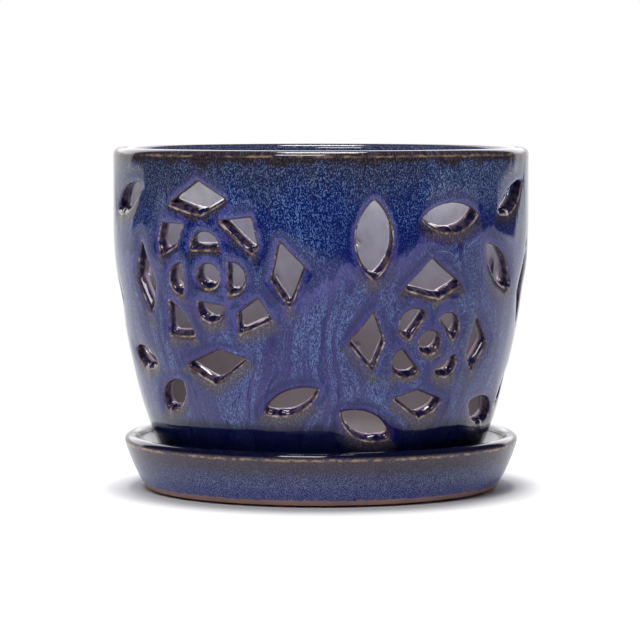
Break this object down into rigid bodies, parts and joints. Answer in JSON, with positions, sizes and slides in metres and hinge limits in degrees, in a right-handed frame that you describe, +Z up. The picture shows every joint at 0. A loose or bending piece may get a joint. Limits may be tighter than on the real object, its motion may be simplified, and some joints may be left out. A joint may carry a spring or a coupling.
{
  "type": "orchid pot",
  "caption": "Glazed stoneware orchid pot, its wall pierced with petal and leaf slots that let air reach the roots, standing loose in a matching drip saucer.",
  "frame": {"origin": "on the table, at the middle of the saucer's foot", "axes": "+Z up along the pot's axis, -Y towards the side the picture shows, +X to the right of that side"},
  "size_m": [0.152, 0.152, 0.125],
  "materials": {
    "pot_glaze": "gloss",
    "saucer_glaze": "gloss"
  },
  "bodies": {
    "saucer": {"saucer": "saucer_glaze"},
    "pot": {"pot": "pot_glaze"}
  },
  "joints": [
    {"name": "pot_lift", "type": "slide", "parent": "saucer", "child": "pot", "axis": [0, 0, 1], "range_m": [0, 0.06]}
  ]
}
